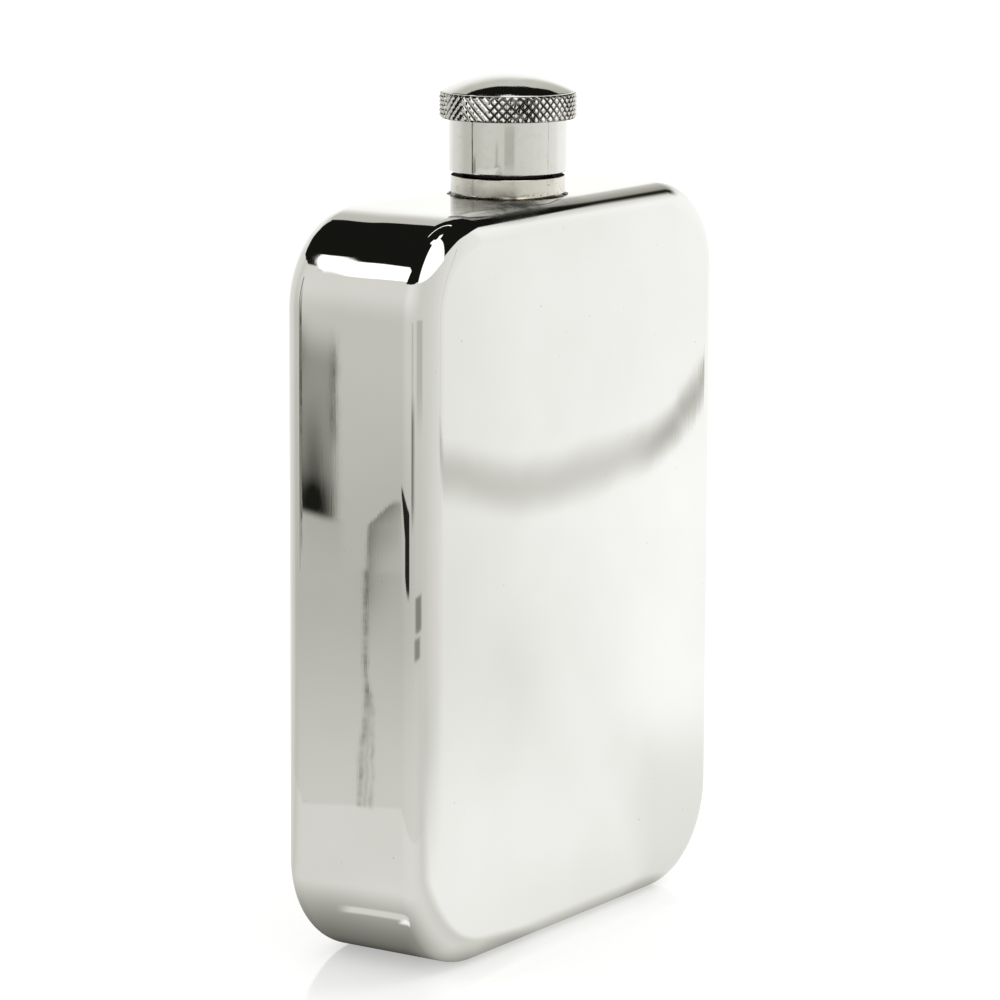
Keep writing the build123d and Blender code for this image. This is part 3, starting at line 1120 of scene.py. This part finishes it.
def wedge(angle, rise):
    """The light left by the black wedge and its stem."""
    top = WEDGE_TOP - WEDGE_TOP_SLOPE * (angle - WEDGE_LEFT)
    foot = WEDGE_FOOT - WEDGE_FOOT_SLOPE * (angle - WEDGE_LEFT)
    body = ramp(rise, foot - 0.0006, foot + 0.0004) * drop(rise, top - 0.0003, top + 0.0005)
    body = body * ramp(angle, WEDGE_LEFT + 0.4, WEDGE_LEFT + 1.6) * (angle < WEDGE_RIGHT)
    left = STEM_LEFT + STEM_NARROWS * np.clip(-rise / STEM_LONG, 0, 1)
    stem = sector(angle, left, STEM_RIGHT, 1.5) * drop(-rise, 0.012, STEM_LONG)
    return 1 - WEDGE_DEPTH * np.maximum(body, stem * (rise < top))


def backdrop_fold(signed, rise):
    """The light left by the soft fold of the backdrop before the broad face."""
    angle = signed % 360
    width = 0.0085 - 0.002 * sector(angle, -31.5, -28, 1.5)
    fold = abs(rise - between(signed, FOLD)) / width
    front = sector(angle, -64, -20, 8) * drop(signed, -29.4, -28.4)
    front = front * (0.3 + 0.2 * sector(angle, -31.2, -28, 1))
    return 1 - front * np.maximum(0, 1 - fold * fold) ** 2


def tent_wall(angle, rise):
    """The cloth's brightness on the wall and ceiling."""
    signed = off_angle(angle, 0)
    light = around(angle, CLOTH_LIGHT)
    light = light * (1 + GLOW_SHARE * ramp(rise, *GLOW_FADE) * sector(angle, *GLOW_SECTOR))
    foot = around(angle, FLOOR_LIGHT)
    light = foot + (light - foot) * ramp(rise, *FOOT_FADE)
    start = between(signed, DIM_START)
    dim = sector(angle, *DIM_SECTOR) * ramp(rise, start, start + DIM_FADE)
    light = light * (1 - DIM_SHARE * dim)
    light = light * (1 - (1 - between(signed, HIGH_LIGHT)) * ramp(rise, *HIGH_FADE))
    top = around(angle, CLOTH_TOP)
    light = TENT_DARK + light * drop(rise, top - CLOTH_EDGE, top + CLOTH_EDGE)
    light = high_strip(hang(light, angle, rise), angle, rise)
    light = light * smudge(angle, rise) * crease_head(angle, rise) * wedge(angle, rise)
    return light * backdrop_fold(signed, rise)


def base_distance(x, y):
    """How far a place on the floor is from the flat foot of the flask."""
    out_x = np.maximum(0, abs(x) - (HALF_WIDTH - BOTTOM_CORNER))
    out_y = np.maximum(0, abs(y) - SEAM_Y)
    return np.hypot(out_x, out_y)


# the crease in the floor cloth, from the wall to near the flask
CREASE_FAR = (-0.285, 0.1707)
CREASE_NEAR = (-0.118, 0.0543)
CREASE_MOST = 0.8


def crease_depth(x, y):
    """How dark the crumpled crease in the floor cloth is."""
    share = (x - CREASE_FAR[0]) / (CREASE_NEAR[0] - CREASE_FAR[0])
    off = y - (CREASE_FAR[1] + (CREASE_NEAR[1] - CREASE_FAR[1]) * share)
    bend = 0.0005 * np.sin(7 * share - 2.2) + 0.0002 * ripple(x * 110, 3)
    off = off + bend * ramp(share, 0.1, 0.4)
    first = line(off, 0.0008) * (0.65 + 0.35 * ripple(x * 260, 5))
    apart = 0.0023 * ramp(share, 0.4, 0.85) + 0.0003 * ripple(x * 150, 7)
    second = line(off + apart, 0.0006) * (0.6 + 0.4 * ripple(x * 200, 9)) * ramp(share, 0.35, 0.5)
    third = line(off + 0.5 * apart, 0.0005) * ramp(share, 0.5, 0.6)
    width = 0.0045 * (1 - np.clip(share, 0, 0.8)) ** 2
    flank = np.exp(np.minimum(0, off) / width) * (off < 0.0001) * drop(share, 0.05, 0.45)
    depth = 0.6 * first + 0.42 * second + 0.3 * third + 0.5 * flank
    ends = drop(x, CREASE_NEAR[0] - 0.001, CREASE_NEAR[0] + 0.001) * (y > 0)
    return np.clip(depth, 0, CREASE_MOST) * ends


FLOOR_BRIGHT = 0.95


def tent_floor(x, y):
    """The floor cloth's brightness, with the flask's shadow painted round its foot."""
    angle = np.degrees(np.arctan2(y, x)) % 360
    reach = np.hypot(x, y)
    light = around(angle, FLOOR_LIGHT)
    before = sector(angle, -130, 40, 14) * drop(reach, 0.06, 0.19)
    light = light + (FLOOR_BRIGHT - light) * before
    beside = sector(angle, 120, 215, 30)
    light = light + beside * 0.14 * drop(reach, 0.12, 0.3)
    board = 0.131 - 0.013 * ramp(angle, 150, 200) + 0.004 * drop(angle, 146.8, 147.7)
    light = light + beside * 0.07 * drop(reach, board - 0.001, board + 0.001)
    right = sector(angle, -33, 40, 3) * drop(reach, 0.1, 0.16)
    light = light * (1 - 0.1 * right)
    # painted shadow of the flask on the floor cloth, darkest beside the narrow side and right at its foot
    near = base_distance(x, y)
    narrow = sector(angle, 120, 196, 12)
    light = light * (1 - 0.94 * narrow * drop(near, -0.003, 0.0365))
    light = light * (1 - 0.55 * drop(near, 0, 0.008))
    light = light * (1 - 0.06 * (1 - narrow) * drop(near, 0, 0.04))
    rise = reach - TENT_RADIUS
    return hang(light, angle, rise) * (1 - crease_depth(x, y)) * wedge(angle, rise)


def tent_light(x, y, z):
    """How bright the tent is at points."""
    angle = np.degrees(np.arctan2(y, x)) % 360
    reach = np.hypot(x, y)
    blend = ramp(reach, TENT_RADIUS - 0.01, TENT_RADIUS)
    floor = tent_floor(x, y) * (1 - blend) + tent_wall(angle, 0) * blend
    rise = np.where(z < TENT_HEIGHT, np.maximum(z, 0), TENT_HEIGHT + TENT_RADIUS - reach)
    return np.where((z <= TENT_FLOOR) & (reach < TENT_RADIUS), floor, tent_wall(angle, rise))


def tent_part(name, radii, heights, turns, made):
    """One sheet of the tent from its rows' radii and heights, with its light on its points."""
    x = radii[:, None] * np.cos(turns)[None, :]
    y = radii[:, None] * np.sin(turns)[None, :]
    z = np.repeat(heights[:, None], len(turns), axis=1)
    rows, columns = x.shape
    corner = np.arange(rows * columns).reshape(rows, columns)
    quads = [corner[:-1, :-1], corner[:-1, 1:], corner[1:, 1:], corner[1:, :-1]]
    faces = np.stack([quad.ravel() for quad in quads], axis=1)
    mesh = bpy.data.meshes.new(name)
    mesh.from_pydata(np.stack([x.ravel(), y.ravel(), z.ravel()], axis=1), [], faces)
    value = tent_light(x, y, z).ravel()
    grey = np.clip(1 - value, 0, 1)
    colour = [value * (1 + 0.02 * grey), value, value * (0.98 - 0.13 * grey), np.ones_like(value)]
    light = mesh.color_attributes.new("light", "FLOAT_COLOR", "POINT")
    light.data.foreach_set("color", np.stack(colour, axis=1).astype(np.float32).ravel())
    tent = put(name, mesh)
    for ray in ("camera", "diffuse", "transmission", "volume_scatter", "shadow"):
        setattr(tent, "visible_" + ray, False)
    dress(made, tent)


# how finely the tent is built: (from, to, step) round it, up the wall and out on the floor
TENT_TURNS = [(0, 125, 0.25), (125, 160, 0.05), (160, 318, 0.25), (318, 332, 0.08), (332, 360.1, 0.25)]
TENT_RISES = [(0.0004, 0.06, 0.0004), (0.06, TENT_HEIGHT, 0.002)]
TENT_MIDDLE = 0.0005
TENT_REACHES = [(TENT_MIDDLE, 0.06, 0.0003), (0.06, TENT_RADIUS, 0.0009)]
CEILING_ROWS = 120


def stepped(parts):
    """Values through (from, to, step) parts."""
    return np.concatenate([np.arange(*part) for part in parts])


def make_tent():
    """The tent in two sheets: the floor, and the wall with the ceiling."""
    made, tree = material("tent_light")
    stored = add(tree, "VertexColor", layer_name="light")
    surface(tree, add(tree, "Emission", {"Color": stored.outputs[0], "Strength": 1.0}))
    made.cycles.emission_sampling = "NONE"
    turns = np.radians(stepped(TENT_TURNS))
    wall = np.append([TENT_FLOOR, 0.0], stepped(TENT_RISES))
    ceiling = np.linspace(TENT_RADIUS, TENT_MIDDLE, CEILING_ROWS)
    radii = np.concatenate([np.full(len(wall), TENT_RADIUS), ceiling])
    heights = np.concatenate([wall, np.full(CEILING_ROWS, TENT_HEIGHT)])
    tent_part("tent_wall", radii, heights, turns, made)
    radii = np.append(stepped(TENT_REACHES), TENT_RADIUS)
    tent_part("tent_floor", radii, np.full(len(radii), TENT_FLOOR), turns, made)


make_tent()


FLOOR_SIZE = 3.0
FLOOR_LOOK = {
    "Base Color": (0.5, 0.5, 0.5, 1),
    "Roughness": 0.06,
    "Specular IOR Level": 0.3,
    "Emission Color": (1, 1, 1, 1),
    "Emission Strength": 0.42,
}
WORLD_STRENGTH = 1.07
# the soft lights: (name, place, size, watts)
SOFTBOXES = [
    ("softbox_right", (0.45, -0.35, 0.6), 0.35, 1.6),
    ("softbox_left", (-0.35, 0.55, 0.6), 0.35, 0.8),
]


def make_floor():
    """A plain white floor with a faint sheen."""
    mesh = bpy.data.meshes.new("floor")
    corners = [(x * FLOOR_SIZE, y * FLOOR_SIZE, 0) for x, y in ((-1, -1), (1, -1), (1, 1), (-1, 1))]
    mesh.from_pydata(corners, [], [(0, 1, 2, 3)])
    floor = put("floor", mesh)
    floor.visible_glossy = False
    made, tree = material("floor")
    surface(tree, add(tree, "BsdfPrincipled", FLOOR_LOOK))
    dress(made, floor)


def make_world():
    """White for the camera and soft white light on everything dull."""
    world = bpy.data.worlds.new("studio")
    bpy.context.scene.world = world
    world.use_nodes = True
    shade = world.node_tree.nodes["Background"]
    shade.inputs["Color"].default_value = (1, 1, 1, 1)
    shade.inputs["Strength"].default_value = WORLD_STRENGTH


def make_softbox(name, place, size, watts):
    """A square soft light that points at the flask's foot and shows in no reflection."""
    lamp = bpy.data.lights.new(name, "AREA")
    lamp.size = size
    lamp.energy = watts
    light = put(name, lamp)
    light.location = place
    light.rotation_mode = "QUATERNION"
    light.rotation_quaternion = (-light.location).to_track_quat("-Z", "Y")
    light.visible_glossy = False
    light.visible_camera = False


# the camera: where it stands seen from the flask's middle, which way it looks, and its lens in mm
CAMERA_AZIMUTH, CAMERA_ELEVATION = radians(-56.656), radians(10.934)
CAMERA_DISTANCE = 0.6517
CAMERA_HEADING, CAMERA_PITCH = radians(56.576), radians(10.194)
CAMERA_ROLL = radians(0.259)
LENS_LENGTH, SENSOR_WIDTH = 162.07, 36


def make_camera():
    """The camera, to the front left of the flask and a little above it."""
    lens = bpy.data.cameras.new("camera")
    lens.sensor_width = SENSOR_WIDTH
    lens.lens = LENS_LENGTH
    lens.clip_start = 0.01
    lens.clip_end = 20
    camera = put("camera", lens)
    level = CAMERA_DISTANCE * cos(CAMERA_ELEVATION)
    camera.location = (
        level * sin(CAMERA_AZIMUTH),
        -level * cos(CAMERA_AZIMUTH),
        HEIGHT / 2 + CAMERA_DISTANCE * sin(CAMERA_ELEVATION),
    )
    flat = cos(CAMERA_PITCH)
    forward = (sin(CAMERA_HEADING) * flat, cos(CAMERA_HEADING) * flat, -sin(CAMERA_PITCH))
    roll = Quaternion((0, 0, 1), CAMERA_ROLL)
    camera.rotation_mode = "QUATERNION"
    camera.rotation_quaternion = Vector(forward).to_track_quat("-Z", "Y") @ roll
    bpy.context.scene.camera = camera


make_floor()
make_world()
for softbox in SOFTBOXES:
    make_softbox(*softbox)
make_camera()

settings = bpy.context.scene.view_settings
settings.view_transform = "Standard"
settings.look = "None"
